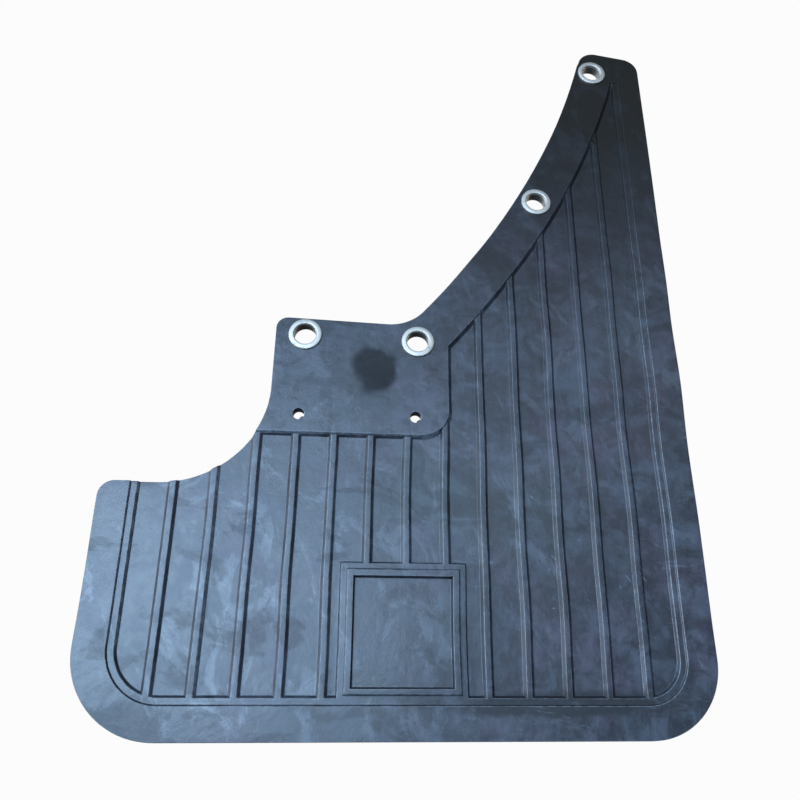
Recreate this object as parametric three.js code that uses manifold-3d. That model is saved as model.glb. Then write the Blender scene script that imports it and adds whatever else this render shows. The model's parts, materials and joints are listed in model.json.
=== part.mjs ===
// A moulded rubber mud flap with four set metal eyelets, hanging as it does behind a wheel.
//
// Everything is drawn in plan first: x runs across the flap, y up it, and z out of its ribbed front face,
// with z = 0 on the plain back face. The group at the end stands the plan upright, so the ribbed face looks
// along -Y and +Z is up. The origin is the middle of the fixing pad, on the back face.
import * as THREE from 'three';
import { mergeVertices } from 'three/addons/utils/BufferGeometryUtils.js';
import Module from 'manifold-3d';

const wasm = await Module();
wasm.setup();

// ---- Driving dimensions, in millimetres and degrees ----

// The outline, as distances from the origin
const reachLeft = 129.5;
const reachRight = 182.5;
const dropBottom = 183;
const riseTip = 247.7;
const cornerLeft = 42;
const cornerRight = 37;
const lobeDrop = 62;
const lobeCorner = 8;
const archRadius = 53.8;
const padReachLeft = 48;
const padRiseTop = 33.2;
const padTopTilt = 1.8;
const padCorner = 6.5;
const strapCentreX = -361.2;
const strapCentreY = 382.9;
const strapRadius = 522.8;
const strapFillet = 26;
const tipTilt = 8.4;
const tipTiltFrom = 154.5;
const tipCorner = 11;
const tipLand = 24;

// Thicknesses: the sheet, then the two heights of the relief above it
const sheet = 4;
const ribHeight = 1.6;
const rimHeight = 2.6;

// The rim runs round the edge, with a ledge at rib height inside it
const rimWidth = 15.3;
const ledgeWidth = 4;
const stepDraft = 0.5;

// The fixing pad and the strap stand as high as the rim
const padReachRight = 48.9;
const padDropBottom = 33.1;
const padInnerCorner = 15;
const strapWidth = 24.4;
const plateauDraft = 1.8;

// Ribs, as many as fit between the rims
const ribPitch = 20;
const firstRibFromEdge = 36.2;
const ribBase = 5.4;
const ribTop = 2.7;

// The blank rectangular panel, a bar on a ledge of its own
const plateFromEdge = 123;
const plateWidth = 63.5;
const plateHeight = 62.9;
const plateLedge = 3.4;
const plateBar = 3.6;
const plateDraft = 0.6;

// Plain holes along the foot of the pad, each a little to the left of the eyelet above it
const plainHoleRadius = 3.1;
const plainHoleShift = 0.9;
const plainHoleRise = 10;

// Where the eyelets stand
const padEyeletFromLeft = 16.4;
const padEyeletFromRight = 17.2;
const padEyeletFromTop = 10.2;
const strapEyeletFromEdge = 11.7;
const strapEyeletRise = 121.6;
const tipEyeletFromEdge = 10.3;
const tipEyeletDrop = 17.7;

// Eyelets and the washers that they are set over
const boreRadius = 6.2;
const barrelWall = 0.6;
const flangeRadius = 9.2;
const flangeHeight = 1.3;
const flangeChamfer = 0.7;
const rollRadius = 8.2;
const rollHeight = 0.65;
const washerRadius = 9.2;
const washerThickness = 0.5;
const fitGap = 0.3;
const rollSetback = 0.05;

// Where the hanging skirt bends: a V each side of the sheet's middle stands for the rubber that flexes
const bendBelowPad = 5.4;
const bendForward = 45;
const bendBack = 30;
const bendGap = 1;

// ---- Values that follow from them ----

const left = -reachLeft;
const right = reachRight;
const bottom = -dropBottom;
const lobeTop = -lobeDrop;
const padLeft = -padReachLeft;
const padBottom = -padDropBottom;
const rimTop = sheet + rimHeight;
const ribTopZ = sheet + ribHeight;
const ledgeInside = rimWidth + ledgeWidth;
const overshoot = 2;
const chord = 0.12;
const fieldCornerSteps = 10;
const fieldStrapSteps = 32;
const bluntPoint = 0.5;

// ---- Plan geometry ----

const { PI, sin, cos, tan, sqrt, atan2, asin, acos, ceil, floor, abs, min, max } = Math;
const radians = THREE.MathUtils.degToRad;

// How many chords keep within `chord` of an arc.
const chordsIn = (r, span) => max(4, ceil(span / (2 * acos(1 - chord / max(r, 2)))));

// The points of an arc.
function arc(cx, cy, r, from, to, steps = chordsIn(r, abs(to - from))) {
  return Array.from({ length: steps + 1 }, (_, i) => {
    const a = from + ((to - from) * i) / steps;
    return new THREE.Vector2(cx + r * cos(a), cy + r * sin(a));
  });
}

// Where a line through (px, py) at an angle leaves a circle, on the far side.
function lineMeetsCircle(px, py, angle, cx, cy, r) {
  const along = (cx - px) * cos(angle) + (cy - py) * sin(angle);
  const away = (cx - px) * sin(angle) - (cy - py) * cos(angle);
  const reach = along + sqrt(r * r - away * away);
  return new THREE.Vector2(px + reach * cos(angle), py + reach * sin(angle));
}

const archX = padLeft - archRadius;
const archY = lobeTop + archRadius;
const padTopAngle = radians(-padTopTilt);
const tipAngle = radians(-tipTilt);

// The height of the pad's top edge, and of the tip's top edge, at x.
const padTopAt = (x) => padRiseTop + x * tan(padTopAngle);
const tipTopAt = (x) => riseTip + (x - tipTiltFrom) * tan(tipAngle);

// A point on the strap at height y, a given way in from its outer edge.
function onStrap(y, inset) {
  return [strapCentreX + sqrt((strapRadius + inset) ** 2 - (y - strapCentreY) ** 2), y];
}

const padEyeletLeftX = padLeft + padEyeletFromLeft;
const padEyeletRightX = padReachRight - padEyeletFromRight;
const eyelets = [
  { name: 'pad_eyelet_left', at: [padEyeletLeftX, padTopAt(padEyeletLeftX) - padEyeletFromTop] },
  { name: 'pad_eyelet_right', at: [padEyeletRightX, padTopAt(padEyeletRightX) - padEyeletFromTop] },
  { name: 'strap_eyelet', at: onStrap(strapEyeletRise, strapEyeletFromEdge) },
  { name: 'tip_eyelet', at: onStrap(riseTip - tipEyeletDrop, tipEyeletFromEdge) },
];
const plainHoles = [padEyeletLeftX, padEyeletRightX].map((x) => [x - plainHoleShift, padBottom + plainHoleRise]);

// The whole outline, anticlockwise from the left end of the bottom edge.
function outline() {
  // Inside corner where the strap leaves the pad's top edge
  const raised = padTopAt(0) + strapFillet / cos(padTopAngle);
  const fillet = lineMeetsCircle(0, raised, padTopAngle, strapCentreX, strapCentreY, strapRadius - strapFillet);
  const filletTop = atan2(fillet.y - strapCentreY, fillet.x - strapCentreX);
  // Tip corners, one against the strap's edge and one against the right edge
  const lowered = tipTopAt(0) - tipCorner / cos(tipAngle);
  const tipLeft = lineMeetsCircle(0, lowered, tipAngle, strapCentreX, strapCentreY, strapRadius + tipCorner);
  const tipLeftEnd = atan2(tipLeft.y - strapCentreY, tipLeft.x - strapCentreX);
  const tipRightX = right - tipCorner;
  const tipRightY = lowered + tipRightX * tan(tipAngle);
  // Outside corner at the pad's top left
  const cornerX = padLeft + padCorner;
  const cornerY = padTopAt(cornerX) - padCorner / cos(padTopAngle);
  return [
    ...arc(right - cornerRight, bottom + cornerRight, cornerRight, -PI / 2, 0),
    ...arc(tipRightX, tipRightY, tipCorner, 0, PI / 2 + tipAngle),
    ...arc(tipLeft.x, tipLeft.y, tipCorner, PI / 2 + tipAngle, PI + tipLeftEnd),
    ...arc(strapCentreX, strapCentreY, strapRadius, tipLeftEnd, filletTop).slice(1),
    ...arc(fillet.x, fillet.y, strapFillet, filletTop, padTopAngle - PI / 2).slice(1),
    ...arc(cornerX, cornerY, padCorner, PI / 2 + padTopAngle, PI),
    ...arc(archX, archY, archRadius, 0, -PI / 2),
    ...arc(left + lobeCorner, lobeTop - lobeCorner, lobeCorner, PI / 2, PI),
    ...arc(left + cornerLeft, bottom + cornerLeft, cornerLeft, PI, 1.5 * PI),
  ];
}

// The sunk field inside the rim, the pad and the strap. `rim` is how far it lies inside the left, bottom and
// right edges, and `foot` how far it stays off the top edges of the pad and the strap. It runs out past the
// outline round the arch, where the flap has no rim, and stops short of the tip.
function field(rim, foot) {
  const strapInner = strapRadius + strapWidth + foot;
  const padRight = padReachRight + foot;
  const padFoot = padBottom - foot;
  const rightX = right - rim;
  const room = strapInner ** 2 - (rightX - strapCentreX) ** 2;
  const meetY = room > 0 ? strapCentreY - sqrt(room) : Infinity;
  const topY = min(riseTip - tipLand, meetY - bluntPoint);
  const peak = asin((topY - strapCentreY) / strapInner);
  const heel = atan2(-sqrt(strapInner ** 2 - (padRight - strapCentreX) ** 2), padRight - strapCentreX);
  const r1 = cornerLeft - rim;
  const r2 = cornerRight - rim;
  const r3 = padInnerCorner + foot;
  const openX = archX + sqrt(archRadius ** 2 - (padFoot - archY) ** 2) - overshoot;
  return [
    ...arc(left + rim + r1, bottom + rim + r1, r1, PI, 1.5 * PI, fieldCornerSteps),
    ...arc(rightX - r2, bottom + rim + r2, r2, -PI / 2, 0, fieldCornerSteps),
    new THREE.Vector2(rightX, topY),
    ...arc(strapCentreX, strapCentreY, strapInner, peak, heel, fieldStrapSteps),
    ...arc(padRight - r3, padFoot + r3, r3, 0, -PI / 2, fieldCornerSteps),
    new THREE.Vector2(openX, padFoot),
    new THREE.Vector2(archX, archY),
    new THREE.Vector2(left + rim, lobeTop + overshoot),
  ];
}

const rectangle = (x0, y0, x1, y1) => [
  new THREE.Vector2(x0, y0),
  new THREE.Vector2(x1, y0),
  new THREE.Vector2(x1, y1),
  new THREE.Vector2(x0, y1),
];

// ---- Solids ----

function solid(geometry) {
  geometry.deleteAttribute('normal');
  geometry.deleteAttribute('uv');
  const merged = mergeVertices(geometry, 1e-4);
  return new wasm.Manifold(new wasm.Mesh({
    numProp: 3,
    vertProperties: new Float32Array(merged.attributes.position.array),
    triVerts: new Uint32Array(merged.index.array),
  }));
}

function geometryOf(manifold) {
  const mesh = manifold.getMesh();
  const geometry = new THREE.BufferGeometry();
  geometry.setAttribute('position', new THREE.BufferAttribute(mesh.vertProperties, 3));
  geometry.setIndex(new THREE.BufferAttribute(mesh.triVerts, 1));
  geometry.computeVertexNormals();
  return geometry;
}

function prism(points, z0, z1) {
  const geometry = new THREE.ExtrudeGeometry(new THREE.Shape(points), { depth: z1 - z0, bevelEnabled: false });
  return solid(geometry.translate(0, 0, z0));
}

// A solid with drafted walls: `low` at z0 and `high` at z1, point for point.
function drafted(low, high, z0, z1) {
  const n = low.length;
  const positions = [];
  for (const [ring, z] of [[low, z0], [high, z1]]) {
    for (const p of ring) positions.push(p.x, p.y, z);
  }
  const index = [];
  for (const [a, b, c] of THREE.ShapeUtils.triangulateShape(low, [])) index.push(c, b, a);
  for (const [a, b, c] of THREE.ShapeUtils.triangulateShape(high, [])) index.push(n + a, n + b, n + c);
  for (let i = 0; i < n; i += 1) {
    const j = (i + 1) % n;
    index.push(i, j, n + j, i, n + j, n + i);
  }
  const geometry = new THREE.BufferGeometry();
  geometry.setAttribute('position', new THREE.Float32BufferAttribute(positions, 3));
  geometry.setIndex(index);
  return solid(geometry);
}

function hole(x, y, r, z0, z1) {
  const geometry = new THREE.CylinderGeometry(r, r, z1 - z0, 32);
  return solid(geometry.rotateX(PI / 2).translate(x, y, (z0 + z1) / 2));
}

// The ledge level and the field level, cut as two drafted pockets.
function pockets() {
  const slope = plateauDraft / rimHeight;
  const ledgeFoot = slope * (rimHeight - ribHeight);
  const above = overshoot * slope;
  const upper = drafted(
    field(rimWidth + stepDraft, ledgeFoot),
    field(rimWidth - overshoot * stepDraft, -above),
    ribTopZ,
    rimTop + overshoot,
  );
  const lower = drafted(
    field(ledgeInside + stepDraft, plateauDraft),
    field(ledgeInside - stepDraft, ledgeFoot),
    sheet,
    ribTopZ,
  );
  return upper.add(lower);
}

const plateFloor = bottom + ledgeInside;
const plateTop = plateFloor + plateHeight;
const plateLeft = left + plateFromEdge;
const plateRight = plateLeft + plateWidth;
const firstRibX = left + firstRibFromEdge;
const ribCount = 1 + floor((right - ledgeInside - ribBase / 2 - firstRibX) / ribPitch);

// One rib, running up from the rim's ledge, or from the blank panel where that is in its way.
function rib(x) {
  const blocked = x > plateLeft && x < plateRight;
  const low = (blocked ? plateTop : plateFloor) - ribTop;
  const high = tipTopAt(0);
  return drafted(
    rectangle(x - ribBase / 2, low, x + ribBase / 2, high),
    rectangle(x - ribTop / 2, low, x + ribTop / 2, high),
    sheet - overshoot * 0.1,
    ribTopZ,
  );
}

// The blank rectangular panel: its ledge, the bar round it and the sunk middle.
function plate() {
  const box = (inset, floorInset) =>
    rectangle(plateLeft + inset, plateFloor + floorInset, plateRight - inset, plateTop - inset);
  const middle = plateLedge + plateBar;
  const ledge = drafted(box(0, -ledgeWidth / 2), box(plateDraft, -ledgeWidth / 2), sheet, ribTopZ);
  const bar = drafted(
    box(plateLedge, plateDraft),
    box(plateLedge + plateDraft, 2 * plateDraft),
    ribTopZ,
    rimTop,
  );
  const sunk = drafted(
    box(middle + plateDraft, plateBar + plateDraft),
    box(middle - plateDraft, plateBar - plateDraft),
    sheet,
    rimTop + overshoot,
  );
  return ledge.add(bar).subtract(sunk);
}

const bendY = padBottom - bendBelowPad;
const bendZ = sheet / 2;

// The V-shaped slot across the flap at the bend, deeper in front than behind.
function bendSlot() {
  const front = rimTop + overshoot;
  const wideFront = bendGap / 2 + (front - bendZ) * tan(radians(bendForward / 2));
  const wideBack = bendGap / 2 + (bendZ + overshoot) * tan(radians(bendBack / 2));
  const section = new THREE.Shape([
    new THREE.Vector2(-overshoot, -wideBack),
    new THREE.Vector2(bendZ, -bendGap / 2),
    new THREE.Vector2(front, -wideFront),
    new THREE.Vector2(front, wideFront),
    new THREE.Vector2(bendZ, bendGap / 2),
    new THREE.Vector2(-overshoot, wideBack),
  ]);
  const across = reachLeft + reachRight + 2 * overshoot;
  const geometry = new THREE.ExtrudeGeometry(section, { depth: across, bevelEnabled: false });
  return solid(geometry.rotateY(-PI / 2).translate(right + overshoot, bendY, 0));
}

// The rubber moulding, before it is parted at the bend.
function moulding() {
  const blank = prism(outline(), 0, rimTop);
  let relief = plate();
  for (let i = 0; i < ribCount; i += 1) relief = relief.add(rib(firstRibX + i * ribPitch));
  let body = blank.subtract(pockets()).add(relief.intersect(blank));
  const seatDepth = rollSetback + rollHeight + washerThickness + 2 * fitGap;
  for (const { at: [x, y] } of eyelets) {
    body = body.subtract(hole(x, y, boreRadius + barrelWall + fitGap, -overshoot, rimTop + overshoot));
    body = body.subtract(hole(x, y, washerRadius + fitGap, -overshoot, seatDepth));
  }
  for (const [x, y] of plainHoles) body = body.subtract(hole(x, y, plainHoleRadius, -overshoot, rimTop + overshoot));
  return body.subtract(bendSlot());
}

function half(body, y0, y1) {
  const window = prism(rectangle(left - overshoot, y0, right + overshoot, y1), -overshoot, rimTop + overshoot);
  return geometryOf(body.intersect(window));
}

// A flanged eyelet: the flange in front, the barrel through the rubber, the end rolled out over its washer.
function eyeletGeometry() {
  const barrel = boreRadius + barrelWall;
  const under = rimTop + fitGap;
  const face = under + flangeHeight;
  const rollTop = rollSetback + rollHeight;
  const profile = [
    [boreRadius, rollSetback],
    [rollRadius, rollSetback],
    [rollRadius, rollTop],
    [barrel, rollTop],
    [barrel, under],
    [flangeRadius, under],
    [flangeRadius, face - flangeChamfer],
    [flangeRadius - flangeChamfer, face],
    [boreRadius + flangeChamfer, face],
    [boreRadius, face - flangeChamfer],
    [boreRadius, rollSetback],
  ].map(([r, z]) => new THREE.Vector2(r, z));
  return new THREE.LatheGeometry(profile, 40).rotateX(PI / 2);
}

function washerGeometry() {
  const inner = boreRadius + barrelWall + fitGap;
  const z0 = rollSetback + rollHeight + fitGap;
  const z1 = z0 + washerThickness;
  const profile = [[inner, z0], [washerRadius, z0], [washerRadius, z1], [inner, z1], [inner, z0]]
    .map(([r, z]) => new THREE.Vector2(r, z));
  return new THREE.LatheGeometry(profile, 40).rotateX(PI / 2);
}

// ---- The assembly ----

const flap = new THREE.Group();
flap.rotation.x = PI / 2;

const rubber = { color: 0x3a3f47, roughness: 0.5, metalness: 0 };
const plated = { color: 0xc9ccce, roughness: 0.25, metalness: 1 };

function place(name, geometry, finish, [x, y] = [0, 0]) {
  const mesh = new THREE.Mesh(geometry, new THREE.MeshStandardMaterial(finish));
  mesh.name = name;
  mesh.position.set(x, y, 0);
  flap.add(mesh);
}

const body = moulding();
place('upper_panel', half(body, bendY, riseTip + overshoot), rubber);
place('skirt', half(body, bottom - overshoot, bendY), rubber);
for (const { name, at } of eyelets) {
  place(name, eyeletGeometry(), plated, at);
  place(`${name}_washer`, washerGeometry(), plated, at);
}

export default flap;
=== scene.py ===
"""A moulded rubber mud flap with four set metal eyelets, hanging as it does behind a wheel.

The flap is drawn in plan, x across it and z up it. Its back lies at y = 0 and its ribbed face looks along -Y,
so a height above the back is a distance along -Y. All sizes are in metres and all angles in radians.
"""

import json
from math import asin, atan2, ceil, cos, pi, radians, sin, sqrt, tan

import bmesh
import bpy
from bpy.props import FloatProperty, FloatVectorProperty, IntProperty, PointerProperty
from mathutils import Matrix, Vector


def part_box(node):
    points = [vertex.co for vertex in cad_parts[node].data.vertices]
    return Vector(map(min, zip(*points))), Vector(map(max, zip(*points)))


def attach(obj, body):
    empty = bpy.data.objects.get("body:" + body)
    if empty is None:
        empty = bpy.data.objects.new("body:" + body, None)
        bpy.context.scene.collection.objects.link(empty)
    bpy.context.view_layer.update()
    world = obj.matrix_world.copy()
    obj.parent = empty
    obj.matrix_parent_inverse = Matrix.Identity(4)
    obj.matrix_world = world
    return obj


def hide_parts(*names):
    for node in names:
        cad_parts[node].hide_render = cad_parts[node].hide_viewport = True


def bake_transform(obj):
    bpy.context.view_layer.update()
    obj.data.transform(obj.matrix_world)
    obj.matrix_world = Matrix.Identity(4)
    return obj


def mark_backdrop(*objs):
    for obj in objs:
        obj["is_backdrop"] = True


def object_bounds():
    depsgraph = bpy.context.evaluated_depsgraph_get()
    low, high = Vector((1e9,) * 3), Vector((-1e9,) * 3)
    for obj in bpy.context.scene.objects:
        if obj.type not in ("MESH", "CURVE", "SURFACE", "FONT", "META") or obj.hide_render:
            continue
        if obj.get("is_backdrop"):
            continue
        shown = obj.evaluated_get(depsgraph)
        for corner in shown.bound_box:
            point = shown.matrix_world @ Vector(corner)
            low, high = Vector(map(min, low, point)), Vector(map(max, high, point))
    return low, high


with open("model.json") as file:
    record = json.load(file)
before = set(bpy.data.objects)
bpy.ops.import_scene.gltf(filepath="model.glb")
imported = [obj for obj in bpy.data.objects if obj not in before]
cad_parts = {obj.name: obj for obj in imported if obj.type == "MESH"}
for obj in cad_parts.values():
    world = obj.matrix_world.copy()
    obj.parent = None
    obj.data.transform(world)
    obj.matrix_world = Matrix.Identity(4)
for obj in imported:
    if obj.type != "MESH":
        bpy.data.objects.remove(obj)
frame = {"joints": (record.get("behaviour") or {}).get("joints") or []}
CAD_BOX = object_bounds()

bl_info = {
    "name": "Mud Flap",
    "version": (1, 0, 0),
    "blender": (4, 5, 0),
    "location": "View3D > Sidebar > Mud Flap",
    "description": "Builds a moulded rubber mud flap with set eyelets round its packed frame",
    "category": "Object",
}

MM = 0.001

# Points this close are one, and slivers up to the second size are closed
WELD, SLIVER = 2e-5, 0.2 * MM
# How far a cutting tool runs on past what it cuts
OVERRUN = 2 * MM
# Flatter than the first is one face, and sharper than the second is rounded
FLAT, SHARP = radians(0.5), radians(28)
# Pitches of the cuts across the sheet, so that it can wave and bend
COLUMN_PITCH, ROW_PITCH, BEND_PITCH = 9 * MM, 7 * MM, 3 * MM
WAVE_SCALE, WANDER_SCALE = 75 * MM, 50 * MM
# Name of the mark on standing edges, which are painted pale as rubbed wear and as a painted edge highlight
PALE_EDGE_WEAR_AND_HIGHLIGHT = "standing_edge"

# Marks on the rubber as (x, z, radius, soft edge, wander), the last as (place, reach, soft edge)
STAIN = (0.009, 0.004, 0.0135, 0.0030, 0.015)
STAIN_HALO = (0.011, 0.000, 0.021, 0.009, 0.016)
SCRATCHED = (0.120, -0.105, 0.05, 0.03, 0.05)
HATCHED = (0.042, 0.002, 0.007, 0.004, 0.006)
GROUND_IN = ((0.108, -0.1668), (0.060, 0.0058), 0.006)

GLOW = 0.97
ROOM_LIGHT = (0.72, 0.83, 1.0, 1)
CAMERA_AT, CAMERA_LOOKS = (0.0008, -0.4058, -0.1686), (0.0831, 0.9153, 0.3942)

# The skirt's own corners, which the outline is hung from
SKIRT_LOW, SKIRT_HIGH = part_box("skirt")
EYELETS = ("pad_eyelet_left", "pad_eyelet_right", "strap_eyelet", "tip_eyelet")


def middle(node):
    """The middle of a frame node's box."""
    low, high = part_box(node)
    return (low + high) / 2


# ---- Sizes and colours that a user would change ----


def length(name, description, default):
    """A length that a user can set."""
    return FloatProperty(
        name=name, description=description, default=default, min=0, unit="LENGTH", precision=5
    )


def place(name, description, default):
    """A place along one axis, which may be negative."""
    return FloatProperty(name=name, description=description, default=default, unit="LENGTH", precision=5)


def turn(name, description, default):
    """An angle, given here in degrees."""
    return FloatProperty(name=name, description=description, default=radians(default), unit="ROTATION")


def colour(name, description, default):
    """A linear colour."""
    return FloatVectorProperty(
        name=name, description=description, default=default, size=3, min=0, max=1, subtype="COLOR"
    )


def share(name, description, default):
    """A number from 0 to 1."""
    return FloatProperty(name=name, description=description, default=default, min=0, max=1, subtype="FACTOR")


def watts(name, description, default):
    """A light's power."""
    return FloatProperty(name=name, description=f"{description}, in watts", default=default)


class OutlineSizes(bpy.types.PropertyGroup):
    """The flap's outline in plan."""

    corner_left: length("Left corner", "Radius of the lower left corner", 42 * MM)
    corner_right: length("Right corner", "Radius of the lower right corner", 37 * MM)
    lobe_drop: length("Lobe drop", "How far the left lobe's top edge lies under the origin", 62 * MM)
    lobe_corner: length("Lobe corner", "Radius of the left lobe's upper corner", 8 * MM)
    arch_radius: length("Arch", "Radius of the notch between the lobe and the pad", 53.8 * MM)
    pad_reach_left: length("Pad reach left", "From the origin to the pad's left edge", 48 * MM)
    pad_rise: length("Pad rise", "Height of the pad's top edge over the origin", 33.2 * MM)
    pad_tilt: turn("Pad tilt", "Fall of the pad's top edge to the right", 1.8)
    pad_corner: length("Pad corner", "Radius of the pad's upper left corner", 6.5 * MM)
    strap_centre_x: place("Strap centre X", "Centre of the strap's curved edge", -361.2 * MM)
    strap_centre_z: place("Strap centre Z", "Centre of the strap's curved edge", 382.9 * MM)
    strap_radius: length("Strap radius", "Radius of the strap's curved edge", 522.8 * MM)
    strap_fillet: length("Strap fillet", "Inside corner between the pad's top and the strap", 26 * MM)
    tip_tilt: turn("Tip tilt", "Fall of the tip's top edge to the right", 8.4)
    tip_tilt_from: place("Tip tilt from", "Where the tip's top edge is at its full height", 154.5 * MM)
    tip_rise: length("Tip rise", "Height of the tip over the origin", 247.7 * MM)
    tip_corner: length("Tip corner", "Radius of the tip's two corners", 11 * MM)
    chord: length("Chord", "Length of one straight step round a corner", 2.4 * MM)


class ReliefSizes(bpy.types.PropertyGroup):
    """The relief moulded on the front face."""

    sheet: length("Sheet", "Thickness of the plain sheet", 4 * MM)
    rib_height: length("Rib height", "Height of the ribs and the ledge over the sheet", 1.6 * MM)
    rim_width: length("Rim", "Width of the rim", 15.3 * MM)
    ledge_width: length("Ledge", "Width of the ledge inside the rim", 4 * MM)
    step_draft: length("Step draft", "Lean of the rim's and ledge's walls", 0.5 * MM)
    pad_reach_right: length("Pad reach right", "From the origin to the pad's right edge", 48.9 * MM)
    pad_drop: length("Pad drop", "From the origin to the pad's lower edge", 33.1 * MM)
    pad_inner_corner: length("Pad lower corner", "Radius of the pad's lower right corner", 15 * MM)
    strap_width: length("Strap width", "Width of the raised strap", 24.4 * MM)
    plateau_draft: length("Pad draft", "Lean of the pad's and strap's walls", 1.8 * MM)
    tip_land: length("Tip land", "Depth of the solid rubber at the tip", 24 * MM)
    rib_pitch: length("Rib pitch", "From one rib to the next", 20 * MM)
    first_rib: length("First rib", "From the left edge to the first rib", 36.2 * MM)
    rib_count: IntProperty(name="Ribs", description="How many ribs stand on the field", default=13, min=1)
    rib_base: length("Rib base", "Width of a rib where it leaves the sheet", 5.4 * MM)
    rib_top: length("Rib top", "Width of a rib's flat top", 2.7 * MM)
    plate_from_edge: length("Blank panel place", "From the left edge to the blank panel", 123 * MM)
    plate_width: length("Blank panel width", "Width of the blank panel", 63.5 * MM)
    plate_height: length("Blank panel height", "Height of the blank panel", 62.9 * MM)
    plate_ledge: length("Blank panel ledge", "Width of the low step round the blank panel", 3.4 * MM)
    plate_bar: length("Blank panel bar", "Width of the bar round the blank panel", 3.6 * MM)
    plate_draft: length("Blank panel draft", "Lean of the blank panel's walls", 0.6 * MM)
    hole_radius: length("Plain hole", "Radius of the plain holes at the foot of the pad", 3.1 * MM)
    hole_shift: length("Plain hole shift", "How far each hole lies left of the eyelet over it", 0.9 * MM)
    hole_rise: length("Plain hole rise", "From the pad's foot to the plain holes", 10 * MM)
    edge_round: length("Edge round", "Rounding of the moulding's edges", 0.3 * MM)
    flash_height: length("Flash", "How far the mould's parting line stands out", 0.25 * MM)
    flash_width: length("Flash width", "Width of the parting line", 0.5 * MM)
    wave: length("Wave", "How far the sheet is off flat", 1.4 * MM)
    bend_reach: length("Bend reach", "How far above and below the bend line the sheet curves", 27 * MM)
    wander: length("Wander", "How far the ribs wander sideways", 1.3 * MM)


class EyeletSizes(bpy.types.PropertyGroup):
    """The set eyelets and their washers."""

    bore: length("Bore", "Radius of the eyelet's bore", 6.2 * MM)
    wall: length("Wall", "Thickness of the barrel's metal", 0.6 * MM)
    crown: length("Crown", "Radius that the flange's highest ring lies at", 7.0 * MM)
    flange: length("Flange", "Radius of the flange", 9.2 * MM)
    flange_rise: length("Flange rise", "Height of the flange over the rubber", 1.6 * MM)
    flange_lip: length("Flange lip", "Thickness of the flange's outer lip", 0.75 * MM)
    roll: length("Roll", "Radius of the rolled end behind", 8.2 * MM)
    roll_depth: length("Roll depth", "Thickness of the rolled end", 0.65 * MM)
    setback: length("Setback", "How far the rolled end lies inside the back", 0.05 * MM)
    gap: length("Gap", "Clearance round the eyelet and its washer", 0.3 * MM)
    washer: length("Washer", "Radius of the washer", 9.2 * MM)
    washer_thickness: length("Washer thickness", "Thickness of the washer", 0.5 * MM)
    steps: IntProperty(name="Steps", description="Straight steps round a full turn", default=72, min=12)


class RubberLook(bpy.types.PropertyGroup):
    """The rubber's finish."""

    deep: colour("Rubber", "Clean black rubber", (0.0065, 0.0063, 0.0085))
    bloom: colour("Bloom", "Blue-grey bloom of wax on the surface", (0.050, 0.057, 0.073))
    warm: colour("Warm bloom", "Purplish patches in the bloom", (0.060, 0.048, 0.068))
    cool: colour("Cool bloom", "Greenish patches in the bloom", (0.034, 0.050, 0.052))
    weathered: colour("Weathered rubber", "Brownish black of the tip", (0.0105, 0.0090, 0.0060))
    haze: colour("Haze", "Pale dried release agent", (0.080, 0.093, 0.115))
    scuff: colour("Scuff", "Pale scuffs and scratches", (0.22, 0.25, 0.28))
    shine: share("Roughness", "Roughness of clean rubber", 0.37)
    dull: share("Bloom roughness", "How much rougher the bloom is", 0.12)


class MetalLook(bpy.types.PropertyGroup):
    """The eyelets' and washers' finish."""

    plate: colour("Plate", "Satin nickel plate", (0.56, 0.51, 0.45))
    tarnish: colour("Tarnish", "Dulled plate and dirt", (0.30, 0.29, 0.27))
    # Painted shade: the near-black that darkens the inside of the bore
    bore: colour("Bore", "Dark tarnish inside the bore", (0.030, 0.028, 0.026))
    shine: share("Roughness", "Roughness of the plate", 0.55)


class StageSettings(bpy.types.PropertyGroup):
    """The floor, lights and camera."""

    floor_drop: length("Floor drop", "How far the floor lies under the flap", 220 * MM)
    floor_reach: length("Floor reach", "Radius of the floor", 1.9)
    floor: colour("Floor", "Pale studio floor", (0.62, 0.56, 0.49))
    key_power: watts("Key", "Power of the window-like light at the left", 46)
    side_power: watts("Side", "Power of the raking light at the left", 11)
    fill_power: watts("Fill", "Power of the light at the right", 1.5)
    back_power: watts("Back", "Power of the left light behind, twice the right one's", 16)
    sky: colour("Sky", "Colour of the key light", (0.48, 0.71, 1.0))
    ambient: share("Ambient", "Strength of the light from all round", 0.1)
    lens: FloatProperty(name="Lens", description="Focal length in millimetres", default=35.2, min=10)
    shift: share("Shift", "How far the frame is shifted left and down", 0.034)


SETTINGS = {
    "mudflap_outline": OutlineSizes,
    "mudflap_relief": ReliefSizes,
    "mudflap_eyelet": EyeletSizes,
    "mudflap_rubber": RubberLook,
    "mudflap_metal": MetalLook,
    "mudflap_stage": StageSettings,
}


# ---- Modelling by hand ----


def only(*objs):
    """Selects these objects and nothing else, and makes the first active."""
    bpy.ops.object.select_all(action="DESELECT")
    for obj in objs:
        obj.select_set(True)
    bpy.context.view_layer.objects.active = objs[0]


def edit(obj):
    """Opens a piece for editing with all of it selected."""
    only(obj)
    bpy.ops.object.mode_set(mode="EDIT")
    bpy.ops.mesh.select_mode(type="VERT")
    bpy.ops.mesh.select_all(action="SELECT")


def done():
    """Closes the piece that is open for editing."""
    bpy.ops.object.mode_set(mode="OBJECT")


def pick(obj, test):
    """Selects the faces whose middle and normal pass the test, on a piece that is open for editing."""
    bpy.ops.mesh.select_all(action="DESELECT")
    bpy.ops.mesh.select_mode(type="FACE")
    shape = bmesh.from_edit_mesh(obj.data)
    for face in shape.faces:
        face.select_set(test(face.calc_center_median(), face.normal))
    bmesh.update_edit_mesh(obj.data)


def weld():
    """Merges the doubles of the whole piece and turns its faces outwards."""
    bpy.ops.mesh.select_all(action="SELECT")
    bpy.ops.mesh.remove_doubles(threshold=WELD)
    bpy.ops.mesh.normals_make_consistent(inside=False)


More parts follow.
